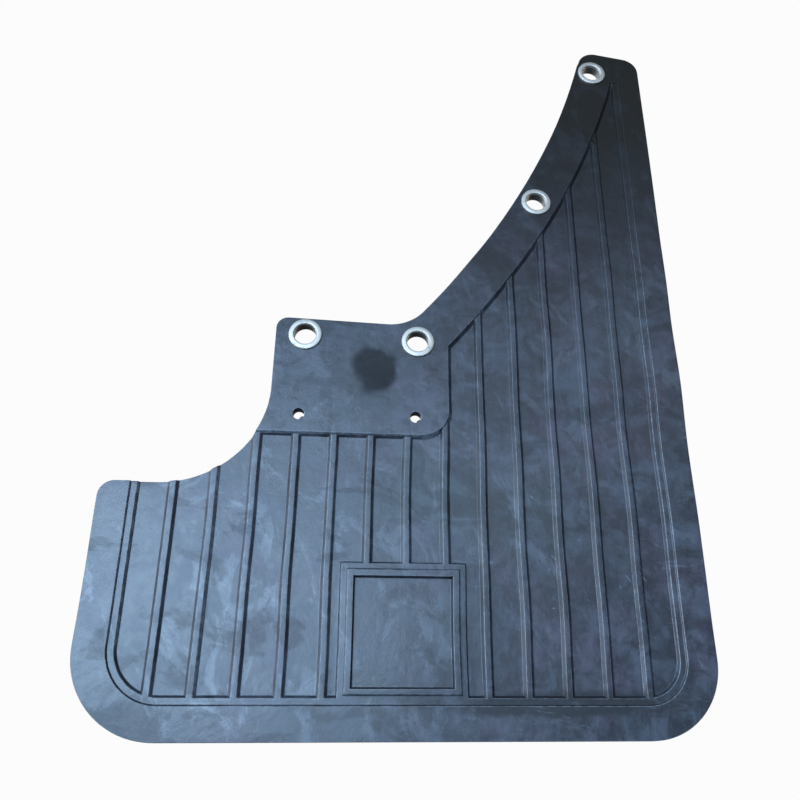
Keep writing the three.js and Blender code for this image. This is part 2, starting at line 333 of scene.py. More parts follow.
def rename(name):
    """Names the active object and its mesh."""
    obj = bpy.context.object
    obj.name = obj.data.name = name
    return obj


def apply_modifier(obj, kind, **settings):
    """Adds one modifier with its settings and applies it."""
    only(obj)
    bpy.ops.object.modifier_add(type=kind)
    modifier = obj.modifiers[-1]
    for key, value in settings.items():
        setattr(modifier, key, value)
    bpy.ops.object.modifier_apply(modifier=modifier.name)


def cut(target, tool):
    """Cuts a piece with a tool, and throws the tool away."""
    apply_modifier(target, "BOOLEAN", operation="DIFFERENCE", solver="EXACT", object=tool)
    only(tool)
    bpy.ops.object.delete()


class Pen:
    """Draws a line by extruding its end point and by spinning it round centres.

    Points are (a, b) in the plane through `origin` along the unit vectors u and v.
    """

    def __init__(self, origin, u, v):
        self.origin, self.u, self.v = Vector(origin), Vector(u), Vector(v)
        self.axis = self.v.cross(self.u)

    def point(self, a, b):
        return self.origin + self.u * a + self.v * b

    def start(self, a, b):
        """Adds one lone vertex to the piece that is open for editing."""
        bpy.ops.mesh.select_all(action="DESELECT")
        bpy.ops.mesh.primitive_plane_add(size=MM, location=self.point(a, b))
        bpy.ops.mesh.merge(type="CENTER")
        self.at = (a, b)

    def line(self, a, b):
        step = self.point(a, b) - self.point(*self.at)
        if step.length > WELD:
            bpy.ops.mesh.extrude_region_move(TRANSFORM_OT_translate={"value": step})
            self.at = (a, b)

    def arc(self, a, b, radius, start, end, steps):
        self.line(a + radius * cos(start), b + radius * sin(start))
        bpy.ops.mesh.spin(steps=steps, angle=end - start, center=self.point(a, b), axis=self.axis)
        self.at = (a + radius * cos(end), b + radius * sin(end))

    def loop(self, moves):
        """A closed line. Each move is a corner (a, b) or an arc (a, b, radius, start, end, steps)."""
        first = moves[0]
        begin = first if len(first) == 2 else (
            first[0] + first[2] * cos(first[3]), first[1] + first[2] * sin(first[3])
        )
        self.start(*begin)
        for move in moves:
            (self.line if len(move) == 2 else self.arc)(*move)
        self.line(*begin)


def new_piece(name):
    """An empty piece, open for editing."""
    bpy.ops.object.select_all(action="DESELECT")
    bpy.ops.mesh.primitive_plane_add(size=MM)
    obj = rename(name)
    edit(obj)
    bpy.ops.mesh.delete(type="VERT")
    return obj


def slab(name, *levels):
    """A solid between closed lines at rising heights.

    Each level is (height, moves), and all have as many points.
    """
    obj = new_piece(name)
    for height, moves in levels:
        Pen((0, -height, 0), (1, 0, 0), (0, 0, 1)).loop(moves)
    bpy.ops.mesh.select_all(action="SELECT")
    bpy.ops.mesh.remove_doubles(threshold=WELD)
    bpy.ops.mesh.select_mode(type="EDGE")
    bpy.ops.mesh.select_all(action="SELECT")
    bpy.ops.mesh.bridge_edge_loops()
    bpy.ops.mesh.select_all(action="SELECT")
    bpy.ops.mesh.fill_holes(sides=0)
    weld()
    done()
    return obj


def peg(name, at, radius, low, high, sides=64):
    """A round solid between two heights over the back."""
    bpy.ops.object.select_all(action="DESELECT")
    bpy.ops.mesh.primitive_cylinder_add(
        vertices=sides, radius=radius, depth=high - low, rotation=(pi / 2, 0, 0),
        location=(at.x, -(low + high) / 2, at.z),
    )
    bpy.ops.object.transform_apply()
    return rename(name)


# ---- The flap's plan ----


def rectangle(x0, z0, x1, z1):
    """The corners of a level rectangle, anticlockwise from the lower left."""
    return [(x0, z0), (x1, z0), (x1, z1), (x0, z1)]


class Plan:
    """The flap's outline and the sunk field inside it, from the outline's and the relief's sizes."""

    def __init__(self, sizes, relief):
        self.sizes, self.relief = sizes, relief
        self.left, self.right, self.bottom = SKIRT_LOW.x, SKIRT_HIGH.x, SKIRT_LOW.z
        self.arch_x = -sizes.pad_reach_left - sizes.arch_radius
        self.arch_z = -sizes.lobe_drop + sizes.arch_radius

    def steps(self, radius, sweep):
        return max(4, ceil(radius * abs(sweep) / self.sizes.chord))

    def arc(self, x, z, radius, start, end):
        return (x, z, radius, start, end, self.steps(radius, end - start))

    def beyond(self, height, tilt, radius):
        """Where a line that falls to the right from (0, height) leaves a circle round the strap's centre."""
        s = self.sizes
        away_x, away_z = s.strap_centre_x, s.strap_centre_z - height
        along = away_x * cos(-tilt) + away_z * sin(-tilt)
        off = away_x * sin(-tilt) - away_z * cos(-tilt)
        reach = along + sqrt(radius**2 - off**2)
        return reach * cos(-tilt), height + reach * sin(-tilt)

    def outline(self):
        """The whole edge, anticlockwise from the lower right corner."""
        s = self.sizes
        raised = s.pad_rise + s.strap_fillet / cos(s.pad_tilt)
        fillet_x, fillet_z = self.beyond(raised, s.pad_tilt, s.strap_radius - s.strap_fillet)
        fillet_end = atan2(fillet_z - s.strap_centre_z, fillet_x - s.strap_centre_x)
        tip_line = s.tip_rise + s.tip_tilt_from * tan(s.tip_tilt)
        lowered = tip_line - s.tip_corner / cos(s.tip_tilt)
        tip_x, tip_z = self.beyond(lowered, s.tip_tilt, s.strap_radius + s.tip_corner)
        tip_end = atan2(tip_z - s.strap_centre_z, tip_x - s.strap_centre_x)
        far_x = self.right - s.tip_corner
        far_z = lowered - far_x * tan(s.tip_tilt)
        corner_x = -s.pad_reach_left + s.pad_corner
        corner_z = s.pad_rise - corner_x * tan(s.pad_tilt) - s.pad_corner / cos(s.pad_tilt)
        foot = self.bottom
        return [
            self.arc(self.right - s.corner_right, foot + s.corner_right, s.corner_right, -pi / 2, 0),
            self.arc(far_x, far_z, s.tip_corner, 0, pi / 2 - s.tip_tilt),
            self.arc(tip_x, tip_z, s.tip_corner, pi / 2 - s.tip_tilt, pi + tip_end),
            self.arc(s.strap_centre_x, s.strap_centre_z, s.strap_radius, tip_end, fillet_end),
            self.arc(fillet_x, fillet_z, s.strap_fillet, fillet_end, -s.pad_tilt - pi / 2),
            self.arc(corner_x, corner_z, s.pad_corner, pi / 2 - s.pad_tilt, pi),
            self.arc(self.arch_x, self.arch_z, s.arch_radius, 0, -pi / 2),
            self.arc(self.left + s.lobe_corner, -s.lobe_drop - s.lobe_corner, s.lobe_corner, pi / 2, pi),
            self.arc(self.left + s.corner_left, foot + s.corner_left, s.corner_left, pi, 1.5 * pi),
        ]

    def field(self, rim, foot):
        """The sunk field, `rim` inside the plain edges and `foot` off the top edges of pad and strap.

        It runs out past the outline round the arch, where the flap has no rim, and stops short of the tip.
        """
        s, r = self.sizes, self.relief
        clear = 0.5 * MM
        strap = s.strap_radius + r.strap_width + foot
        pad_right = r.pad_reach_right + foot
        pad_foot = -r.pad_drop - foot
        right = self.right - rim
        room = strap**2 - (right - s.strap_centre_x) ** 2
        meet = s.strap_centre_z - sqrt(room)
        top = min(s.tip_rise - r.tip_land, meet - clear)
        peak = asin((top - s.strap_centre_z) / strap)
        heel = atan2(-sqrt(strap**2 - (pad_right - s.strap_centre_x) ** 2), pad_right - s.strap_centre_x)
        low_left, low_right = s.corner_left - rim, s.corner_right - rim
        pad_corner = r.pad_inner_corner + foot
        open_x = self.arch_x + sqrt(s.arch_radius**2 - (pad_foot - self.arch_z) ** 2) - OVERRUN
        return [
            (self.left + rim + low_left, self.bottom + rim + low_left, low_left, pi, 1.5 * pi, 16),
            (right - low_right, self.bottom + rim + low_right, low_right, -pi / 2, 0, 16),
            (right, top),
            (s.strap_centre_x, s.strap_centre_z, strap, peak, heel, 72),
            (pad_right - pad_corner, pad_foot + pad_corner, pad_corner, 0, -pi / 2, 12),
            (open_x, pad_foot),
            (self.arch_x, self.arch_z),
            (self.left + rim, -s.lobe_drop + OVERRUN),
        ]


# ---- The rubber moulding ----


def blank(plan, top, relief):
    """The plain moulding before its relief is cut, with the mould's parting line round its edge."""
    obj = new_piece("rubber_flap")
    Pen((0, 0, 0), (1, 0, 0), (0, 0, 1)).loop(plan.outline())
    bpy.ops.mesh.select_all(action="SELECT")
    bpy.ops.mesh.remove_doubles(threshold=WELD)
    bpy.ops.mesh.edge_face_add()
    bpy.ops.mesh.extrude_region_move(TRANSFORM_OT_translate={"value": (0, -top, 0)})
    weld()
    line = relief.sheet / 2
    for height in (line - relief.flash_width / 2, line + relief.flash_width / 2):
        bpy.ops.mesh.select_all(action="SELECT")
        bpy.ops.mesh.bisect(plane_co=(0, -height, 0), plane_no=(0, 1, 0), threshold=WELD)
    pick(obj, lambda centre, normal: abs(normal.y) < 0.5 and abs(-centre.y - line) < relief.flash_width / 4)
    bpy.ops.mesh.extrude_region_shrink_fatten(TRANSFORM_OT_shrink_fatten={"value": relief.flash_height})
    weld()
    done()
    return obj


def ledge_pocket(plan, relief, top):
    """What is cut away over the ledge, with the blank panel's bar left standing."""
    slope = relief.plateau_draft / (top - relief.sheet)
    ledge = relief.sheet + relief.rib_height
    lean_out = OVERRUN / MM * relief.step_draft
    pocket = slab(
        "ledge_pocket",
        (ledge, plan.field(relief.rim_width + relief.step_draft, slope * (top - ledge))),
        (top + OVERRUN, plan.field(relief.rim_width - lean_out, -slope * OVERRUN)),
    )
    lean = relief.plate_draft / (top - ledge)
    under, above = ledge - MM, top + 2 * OVERRUN

    def bar(height):
        give = lean * (height - ledge)
        x0, z0, x1, z1 = plate_box(plan, relief)
        step = relief.plate_ledge + give
        return rectangle(x0 + step, z0 + relief.plate_draft + give, x1 - step, z1 - step)

    cut(pocket, slab("bar", (under, bar(under)), (above, bar(above))))
    return pocket


def plate_box(plan, relief):
    """The blank panel's corners in plan."""
    x0 = plan.left + relief.plate_from_edge
    z0 = plan.bottom + relief.rim_width + relief.ledge_width
    return x0, z0, x0 + relief.plate_width, z0 + relief.plate_height


def field_pocket(plan, relief, top):
    """What is cut away between the ribs, down to the plain sheet."""
    ledge = relief.sheet + relief.rib_height
    slope = relief.plateau_draft / (top - relief.sheet)
    inside = relief.rim_width + relief.ledge_width
    at_ledge = plan.field(inside - relief.step_draft, slope * (top - ledge))
    # The pocket runs on past the ledge, and what is kept out of it runs on past the pocket
    above, over = ledge + 0.4 * MM, ledge + 0.6 * MM
    pocket = slab(
        "field_pocket",
        (relief.sheet, plan.field(inside + relief.step_draft, relief.plateau_draft)),
        (ledge, at_ledge),
        (above, at_ledge),
    )
    x0, z0, x1, z1 = plate_box(plan, relief)
    under = relief.sheet - MM
    lean = (relief.rib_base - relief.rib_top) / 2 / relief.rib_height
    half_under = relief.rib_base / 2 + lean * MM
    half_over = relief.rib_top / 2 - lean * (over - ledge)
    high = plan.sizes.tip_rise
    ribs = []
    for i in range(relief.rib_count):
        x = plan.left + relief.first_rib + i * relief.rib_pitch
        low = (z1 if x0 < x < x1 else z0) - 2 * relief.rib_top
        ribs.append(slab(
            f"rib_{i}",
            (under, rectangle(x - half_under, low, x + half_under, high)),
            (over, rectangle(x - half_over, low, x + half_over, high)),
        ))
    give = relief.plate_draft / relief.rib_height

    def step(height):
        inwards = give * (height - relief.sheet)
        return rectangle(x0 + inwards, z0 - relief.ledge_width, x1 - inwards, z1 - inwards)

    only(*ribs)
    bpy.ops.object.join()
    cut(pocket, bpy.context.object)
    cut(pocket, slab("plate_step", (under, step(under)), (over, step(over))))
    return pocket


def plate_pocket(plan, relief, top):
    """The sunk middle of the blank panel."""
    x0, z0, x1, z1 = plate_box(plan, relief)
    bar = relief.plate_bar
    edge = relief.plate_ledge + bar

    def well(inwards):
        return rectangle(x0 + edge + inwards, z0 + bar + inwards, x1 - edge - inwards, z1 - edge - inwards)

    low, high = well(relief.plate_draft), well(-relief.plate_draft)
    return slab("plate_pocket", (relief.sheet, low), (top + OVERRUN, high))


def plain_holes(relief):
    """The centres of the plain holes, each a little left of the pad's eyelet over it."""
    height = -relief.pad_drop + relief.hole_rise
    return [Vector((middle(name).x - relief.hole_shift, 0, height)) for name in EYELETS[:2]]


def flash_tab(at, relief, top):
    """A scrap of rubber that the punch left standing at the lower right of a plain hole."""
    out, sunk = relief.hole_radius * 0.75, 2.4 * MM
    long, wide = 3.2, 2.2
    taper, slant = (0.7, 1, 0.6), (-0.5 * MM, 0.3 * MM, 0.5 * MM)
    centre = Vector((at.x + out, sunk - top, at.z - out))
    bpy.ops.object.select_all(action="DESELECT")
    bpy.ops.mesh.primitive_cube_add(size=MM, location=centre)
    obj = rename("flash_tab")
    edit(obj)
    bpy.ops.transform.resize(value=(long, wide, wide), center_override=centre)
    bpy.ops.transform.rotate(value=pi / 4, orient_axis="Y", center_override=centre)
    pick(obj, lambda place, normal: normal.y < -0.9)
    front = centre + Vector((0, -wide / 2 * MM, 0))
    bpy.ops.transform.resize(value=taper, center_override=front)
    bpy.ops.transform.translate(value=slant)
    done()
    bpy.ops.object.transform_apply()
    apply_modifier(obj, "BEVEL", width=0.25 * MM, segments=2, limit_method="NONE")
    return obj


def choose_rounded_edges(obj, relief):
    """Weights the sharp edges for rounding, but not the parting line, which is finer than the rounding."""
    middle_y, reach = -relief.sheet / 2, 0.6 * MM
    mesh = bmesh.new()
    mesh.from_mesh(obj.data)
    weight = mesh.edges.layers.float.new("bevel_weight_edge")
    for edge in mesh.edges:
        on_parting_line = all(abs(vertex.co.y - middle_y) < reach for vertex in edge.verts)
        edge[weight] = float(edge.calc_face_angle(0) > SHARP and not on_parting_line)
    mesh.to_mesh(obj.data)
    mesh.free()


def mark_standing_edges(obj):
    """Marks the rounded faces along standing edges, which are painted pale, partly as rubbed wear and partly
    as a painted edge highlight, and leaves those in the corners.
    """
    steep, level, outwards = 0.3, 0.985, radians(12)
    mesh = bmesh.new()
    mesh.from_mesh(obj.data)
    worn = mesh.faces.layers.float.new(PALE_EDGE_WEAR_AND_HIGHLIGHT)
    for face in mesh.faces:
        bend = sum(edge.calc_face_angle_signed(0) for edge in face.edges)
        face[worn] = float(steep < -face.normal.y < level and bend > outwards)
    mesh.to_mesh(obj.data)
    mesh.free()


def wave_weights(obj, names, fade):
    """A vertex group that is 0 round the eyelets, where the flap is held flat, and 1 far from them."""
    group = obj.vertex_groups.new(name="free")
    held = [middle(name) for name in names]
    for vertex in obj.data.vertices:
        near = min((Vector((vertex.co.x, 0, vertex.co.z)) - Vector((h.x, 0, h.z))).length for h in held)
        t = min(max((near - fade / 3) / fade, 0), 1)
        group.add([vertex.index], t * t * (3 - 2 * t), "REPLACE")
    return group


def wavy(obj, depth, size, direction):
    """Lets the sheet wander a little along one axis, as moulded rubber does."""
    group = wave_weights(obj, EYELETS, 60 * MM)
    texture = bpy.data.textures.new(f"wave {direction}", "CLOUDS")
    texture.noise_scale = size
    texture.noise_depth = 0
    apply_modifier(
        obj, "DISPLACE", texture=texture, texture_coords="LOCAL", direction=direction, mid_level=0.5,
        strength=depth, vertex_group=group.name,
    )
    obj.vertex_groups.clear()


def score(obj, low, high, pitch, normal):
    """Cuts the piece across at an even pitch, so that it can bend."""
    normal = Vector(normal)
    edit(obj)
    at = low + pitch / 2
    while at < high:
        bpy.ops.mesh.select_all(action="SELECT")
        bpy.ops.mesh.bisect(plane_co=normal * at, plane_no=normal, threshold=WELD)
        at += pitch
    done()


class MUDFLAP_OT_rubber(bpy.types.Operator):
    """Mould the rubber flap with its rim, ribs, blank panel, pad, strap and holes"""

    bl_idname = "mudflap.rubber"
    bl_label = "Rubber flap"

    def execute(self, context):
        scene = context.scene
        sizes, relief, eyelet = scene.mudflap_outline, scene.mudflap_relief, scene.mudflap_eyelet
        plan = Plan(sizes, relief)
        top = -SKIRT_LOW.y
        flap = blank(plan, top, relief)
        cut(flap, ledge_pocket(plan, relief, top))
        cut(flap, field_pocket(plan, relief, top))
        cut(flap, plate_pocket(plan, relief, top))
        seat = eyelet.setback + eyelet.roll_depth + eyelet.washer_thickness + 2 * eyelet.gap
        low, high = -OVERRUN, top + OVERRUN
        for name in EYELETS:
            at = middle(name)
            cut(flap, peg("through", at, eyelet.bore + eyelet.wall + eyelet.gap, low, high))
            cut(flap, peg("seat", at, eyelet.washer + eyelet.gap, low, seat))
        for at in plain_holes(relief):
            cut(flap, peg("hole", at, relief.hole_radius, low, high, sides=40))
        edit(flap)
        bpy.ops.mesh.remove_doubles(threshold=SLIVER)
        bpy.ops.mesh.dissolve_limited(angle_limit=FLAT)
        done()
        choose_rounded_edges(flap, relief)
        apply_modifier(
            flap, "BEVEL", width=relief.edge_round, segments=2, limit_method="WEIGHT",
            use_clamp_overlap=False, loop_slide=False, miter_outer="MITER_SHARP",
        )
        mark_standing_edges(flap)
        score(flap, plan.left, plan.right, COLUMN_PITCH, (1, 0, 0))
        score(flap, plan.bottom, sizes.tip_rise, ROW_PITCH, (0, 0, 1))
        bend, reach = Vector(frame["joints"][0]["pos_m"]), Vector((0, 0, relief.bend_reach))
        score(flap, bend.z - reach.z, bend.z + reach.z, BEND_PITCH, (0, 0, 1))
        wavy(flap, relief.wave, WAVE_SCALE, "Y")
        wavy(flap, relief.wander, WANDER_SCALE, "X")
        only(flap)
        bpy.ops.object.shade_smooth_by_angle(angle=radians(32))
        apply_modifier(flap, "WEIGHTED_NORMAL", keep_sharp=True, weight=80)
        for at in plain_holes(relief):
            scrap = flash_tab(at, relief, top)
            only(flap)
            scrap.select_set(True)
            bpy.ops.object.join()
        flap.data.materials.clear()
        flap.data.materials.append(rubber_material(scene.mudflap_rubber))
        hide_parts("upper_panel", "skirt")
        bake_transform(flap)
        return {"FINISHED"}


# ---- Eyelets and washers ----


def spun(name, at, moves, steps):
    """A round piece: a closed line of (radius, height) turned once about the eyelet's axis."""
    obj = new_piece(name)
    Pen((at.x, 0, at.z), (1, 0, 0), (0, -1, 0)).loop(moves)
    bpy.ops.mesh.select_all(action="SELECT")
    bpy.ops.mesh.remove_doubles(threshold=WELD)
    bpy.ops.mesh.spin(steps=steps, angle=2 * pi, center=(at.x, 0, at.z), axis=(0, 1, 0))
    weld()
    done()
    bpy.ops.object.shade_smooth_by_angle(angle=radians(40))
    return obj


def copies(first, start, ends):
    """A copy of a piece for each new place, each with its own mesh."""
    for name, at in ends:
        only(first)
        bpy.ops.object.duplicate(linked=False)
        obj = rename(name)
        edit(obj)
        bpy.ops.transform.translate(value=(at.x - start.x, 0, at.z - start.z))
        done()
        yield obj


def set_round(make, suffix, material):
    """Makes one round piece, copies it to the other eyelets' places and hangs them all on the panel."""
    names = [name + suffix for name in EYELETS]
    places = [middle(name) for name in EYELETS]
    first = make(names[0] + "_set", places[0])
    rest = copies(first, places[0], [(name + "_set", at) for name, at in zip(names[1:], places[1:])])
    for name, obj in zip(names, [first, *rest]):
        obj.data.materials.clear()
        obj.data.materials.append(material)
        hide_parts(name)
        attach(obj, "hanger")


class MUDFLAP_OT_eyelets(bpy.types.Operator):
    """Spin the flanged eyelets and set them in the pad, strap and tip"""

    bl_idname = "mudflap.eyelets"
    bl_label = "Eyelets"

    def execute(self, context):
        s = context.scene.mudflap_eyelet
        rubber = -SKIRT_LOW.y
        # The flange falls a little from its crown, and its lip is set a little into the rubber
        fall, lip_rise, lip_sink, neck = 0.12 * MM, 0.6 * MM, 0.05 * MM, 0.1 * MM

        def eyelet(name, at):
            top = rubber + s.flange_rise
            barrel = s.bore + s.wall
            mouth = s.crown - s.bore
            lip = s.flange_lip / 2
            shoulder = rubber + lip
            curl = s.roll_depth / 2
            curl_height = s.setback + curl
            moves = [
                (s.bore + mouth, top - mouth, mouth, pi, pi / 2, 8),
                (s.flange - 2 * lip, top - fall),
                (s.flange - lip, shoulder + lip_rise, lip, pi / 2.4, 0, 5),
                (s.flange - lip, shoulder - lip_sink, lip, 0, -pi / 2, 4),
                (barrel, rubber + neck),
                (barrel, s.setback + s.roll_depth),
                (s.roll - curl, curl_height, curl, pi / 2, -pi / 2, 6),
                (s.bore + 2 * curl, s.setback + 2 * curl, 2 * curl, -pi / 2, -pi, 6),
            ]
            return spun(name, at, moves, s.steps)

        metal = metal_material("nickel plate", context.scene.mudflap_metal, 1.0)
        set_round(eyelet, "", metal)
        return {"FINISHED"}


class MUDFLAP_OT_washers(bpy.types.Operator):
    """Spin the washers and lay them in their seats behind the flap"""

    bl_idname = "mudflap.washers"
    bl_label = "Washers"

    def execute(self, context):
        s = context.scene.mudflap_eyelet

        def washer(name, at):
            low = s.setback + s.roll_depth + s.gap / 2
            edge = s.washer_thickness / 2
            inner = s.bore + s.wall + s.gap / 2
            moves = [
                (s.washer - edge, low + edge, edge, -pi / 2, pi / 2, 6),
                (inner + edge, low + edge, edge, pi / 2, 1.5 * pi, 6),
            ]
            return spun(name, at, moves, s.steps)

        metal = metal_material("washer plate", context.scene.mudflap_metal, 1.4)
        set_round(washer, "_washer", metal)
        return {"FINISHED"}


# ---- Materials ----


class Wire:
    """A socket that sums are written on: each operator adds its Math node."""

    def __init__(self, paint, socket):
        self.paint, self.socket = paint, socket

    def sum(self, operation, *values):
        return self.paint.add("ShaderNodeMath", {"operation": operation}, dict(enumerate(values)))

    def __add__(self, other):
        return self.sum("ADD", self, other)

    def __radd__(self, other):
        return self.sum("ADD", other, self)

    def __sub__(self, other):
        return self.sum("SUBTRACT", self, other)

    def __rsub__(self, other):
        return self.sum("SUBTRACT", other, self)

    def __mul__(self, other):
        return self.sum("MULTIPLY", self, other)

    def __rmul__(self, other):
        return self.sum("MULTIPLY", other, self)


class Paint:
    """One material and the nodes that make it."""

    def __init__(self, name):
        self.material = bpy.data.materials.new(name)
        self.material.use_nodes = True
        self.tree = self.material.node_tree
        self.shader = self.tree.nodes["Principled BSDF"]
        self.coords = self.add("ShaderNodeTexCoord", output="Object")

    def add(self, kind, settings=(), inputs=(), output=0):
        """Adds a node with its settings and its sockets' values or wires, and gives one output."""
        node = self.tree.nodes.new(kind)
        for key, value in dict(settings).items():
            setattr(node, key, value)
        self.feed(node, inputs)
        return Wire(self, node.outputs[output])

    def feed(self, node, inputs):
        for key, value in dict(inputs).items():
            if isinstance(value, Wire):
                self.tree.links.new(value.socket, node.inputs[key])
            else:
                node.inputs[key].default_value = value

    def vector(self, operation, *values, output=0):
        """A sum on vectors."""
        return self.add("ShaderNodeVectorMath", {"operation": operation}, dict(enumerate(values)), output)

    def split(self, axis):
        """How far a point of the piece lies along one axis: 0 is x, 1 is y and 2 is z."""
        return self.add("ShaderNodeSeparateXYZ", {}, {"Vector": self.coords}, output=axis)

    def noise(self, scale, detail=4, roughness=0.5, distortion=0.0, at=None):
        """Cloudy noise from 0 to 1, with `scale` clouds to the metre."""
        return self.add("ShaderNodeTexNoise", {}, {
            "Vector": at or self.coords, "Scale": scale, "Detail": detail, "Roughness": roughness,
            "Distortion": distortion,
        })

    def moved(self, shift=(0, 0, 0), angle=0.0, stretch=(1, 1, 1)):
        """The piece's coordinates shifted, turned in plan and stretched."""
        return self.add("ShaderNodeMapping", {"vector_type": "TEXTURE"}, {
            "Vector": self.coords, "Location": shift, "Rotation": (0, angle, 0), "Scale": stretch,
        })

    def ease(self, value, low, high):
        """0 below low, 1 above high, and smooth between. The two may be given the other way round."""
        return self.add("ShaderNodeMapRange", {"interpolation_type": "SMOOTHSTEP"}, {
            "Value": value, "From Min": low, "From Max": high,
        })

    def spot(self, x, z, radius, soft, wander=0.0):
        """A round patch in plan that fades out over its soft edge, wandering a little off round."""
        flat = self.vector("MULTIPLY", self.coords, (1, 0, 1))
        away = self.vector("DISTANCE", flat, (x, 0, z), output="Value")
        if wander:
            away = away + wander * (self.noise(60, 3) - 0.5)
        return self.ease(away, radius + soft, radius - soft)

    def streak(self, at, reach, soft):
        """A long level patch in plan with ragged, soft edges."""
        apart = self.vector("SUBTRACT", self.coords, (at[0], 0, at[1]))
        flat = self.vector("MULTIPLY", apart, (soft / reach[0], 0, soft / reach[1]))
        away = self.vector("LENGTH", flat, output="Value")
        return self.ease(away + 1.6 * soft * (self.noise(70, 5, 0.65) - 0.5), 1.3 * soft, 0.7 * soft)

    def mix(self, amount, first, second):
        """Mixes two colours."""
        colours = {0: amount, 6: tint(first), 7: tint(second)}
        return self.add("ShaderNodeMix", {"data_type": "RGBA"}, colours, output=2)

    def bump(self, height, strength, depth, under=None):
        """A surface that stands up with the height, over another if one is given."""
        inputs = {"Height": height, "Strength": strength, "Distance": depth}
        if under:
            inputs["Normal"] = under
        return self.add("ShaderNodeBump", {}, inputs)


def tint(value):
    """A colour with its alpha, or a wire as it is."""
    return value if isinstance(value, Wire) else (*value, 1.0)


def rubber_material(look):
    """Black moulded rubber under a blue-grey bloom, with release marks, smudges and scuffs."""
    paint = Paint("moulded rubber")
    height = paint.split(2)
    low = paint.ease(height, 0.20, -0.04)
    # Bloom lies in cloudy blotches with ragged edges, heavier low on the flap than on the strap and tip
    clouds = paint.noise(13, 6, 0.6, 0.5)
    blotches = paint.noise(58, 7, 0.66, 0.9, paint.moved((0.3, 0, 0.1), 0.3, (1.3, 1, 1)))
    mottle = paint.noise(190, 6, 0.72, 0.3)
    grain = paint.noise(150, 5, 0.7, 0.2, paint.moved((0.9, 0, 0.5), 0.05, (0.5, 1, 3.2)))
    bloom = paint.ease(clouds * 0.2 + blotches * 0.46 + mottle * 0.18 + grain * 0.16, 0.42, 0.60)
    bloom = (0.3 + 0.7 * bloom) * (0.1 + 0.9 * low)
    warm = paint.ease(paint.noise(19, 4, 0.6, 0.8, paint.moved((0.7, 0, 0.2))), 0.47, 0.62)
    cool = paint.ease(paint.noise(23, 4, 0.6, 0.8, paint.moved((1.7, 0, 0.6))), 0.5, 0.66)
    # Pale dried drifts and dark rubbed smudges
    drifts = paint.noise(46, 7, 0.66, 1.2, paint.moved((1.1, 0, 0.4), -0.4, (1, 1, 1.6)))
    haze = paint.ease(drifts, 0.53, 0.62)
    rubbed = paint.noise(40, 6, 0.62, 0.9, paint.moved((2.3, 0, 0.9), 0.2, (1.4, 1, 1)))
    smudge = paint.ease(rubbed, 0.53, 0.60)
    # A stain on the pad and dirt ground in along the lower right edge, both on the front only
    stain, halo = paint.spot(*STAIN), paint.spot(*STAIN_HALO)
    front = paint.ease(paint.split(1), -1.5 * MM, -3.0 * MM)
    stain, halo = stain * front, halo * front
    ground_in = front * paint.streak(*GROUND_IN)
    # Scratches low on the right, faint scuffs under the pad and dark hatching by its right eyelet
    worn = paint.spot(*SCRATCHED)
    ticks = paint.noise(210, 2, 0.5, 0.8, paint.moved((0, 0, 0), 0.9, (1.0, 1, 0.25)))
    ticks = paint.ease(ticks, 0.70, 0.76)
    rubs = paint.noise(120, 5, 0.7, 1.2, paint.moved((0, 0, 0), 0.1, (3.0, 1, 0.6)))
    rubs = paint.ease(rubs, 0.56, 0.70)
    scuffs = rubs * paint.ease(paint.noise(18, 3, 0.6, 0.4, paint.moved((3.1, 0, 0.3))), 0.5, 0.62)
    scuffs = scuffs * (1 - stain) * (1 - paint.ease(height, -0.045, -0.02))
    hatch = paint.noise(380, 3, 0.6, 0.2, paint.moved((0, 0, 0), 0.25, (3.5, 1, 1)))
    hatch = paint.ease(hatch, 0.54, 0.60) * paint.spot(*HATCHED) * front
    specks = paint.ease(paint.noise(760, 3, 0.65), 0.62, 0.72)
    # Painted shade darkens the corners through an occlusion node, and standing edges are painted pale in
    # dots, partly rubbed wear and partly a painted edge highlight
    standing = paint.add("ShaderNodeAttribute", {"attribute_name": PALE_EDGE_WEAR_AND_HIGHLIGHT}, output="Fac")
    standing = standing * (0.35 + 0.65 * paint.ease(paint.noise(330, 4, 0.7), 0.44, 0.58))
    near = {"samples": 6, "only_local": True}
    open_air = paint.add("ShaderNodeAmbientOcclusion", near, {"Distance": 0.006}, output="AO")
    corner = paint.ease(open_air, 0.92, 0.5)
    tone = paint.mix(warm * 0.75, look.bloom, look.warm)
    tone = paint.mix(cool * 0.6, tone, look.cool)
    tone = paint.mix(bloom, look.deep, tone)
    tone = paint.mix(paint.ease(height, 0.09, 0.21) * 0.85, tone, look.weathered)
    tone = paint.mix(haze * 0.42 * (0.2 + 0.8 * low), tone, look.haze)
    tone = paint.mix(smudge * 0.45, tone, look.deep)
    # Painted shade: the corners are darkened towards clean black rubber
    tone = paint.mix(corner * 0.85, tone, look.deep)
    tone = paint.mix(stain * 0.9 + halo * 0.1, tone, look.deep)
    tone = paint.mix(ground_in * 0.92, tone, look.deep)
    tone = paint.mix(hatch * 0.8, tone, look.deep)
    pale = ticks * worn * 0.5 + scuffs * 0.22 * low + specks * 0.10 * bloom
    # Painted highlight, partly rubbed wear: pale dots along standing edges
    pale = pale + standing * 0.40 * (0.08 + 0.92 * low)
    tone = paint.mix(pale, tone, look.scuff)
    dullness = look.shine + look.dull * bloom + 0.05 * smudge + 0.06 * scuffs - 0.05 * haze
    dullness = dullness + 0.30 * stain + 0.08 * halo + 0.18 * ground_in + 0.08 * (mottle - 0.5)
    normal = paint.bump(paint.noise(120, 4, 0.6, 0.5), 0.4, 0.0004)
    normal = paint.bump(mottle, 0.22, 0.0005, normal)
    normal = paint.bump(paint.noise(2400, 2, 0.6), 0.2, 0.00012, normal)
    normal = paint.bump(ticks * worn + scuffs * 0.3, 0.2, 0.00012, normal)
    paint.feed(paint.shader, {"Base Color": tone, "Roughness": dullness, "Normal": normal, "IOR": 1.55})
    return paint.material


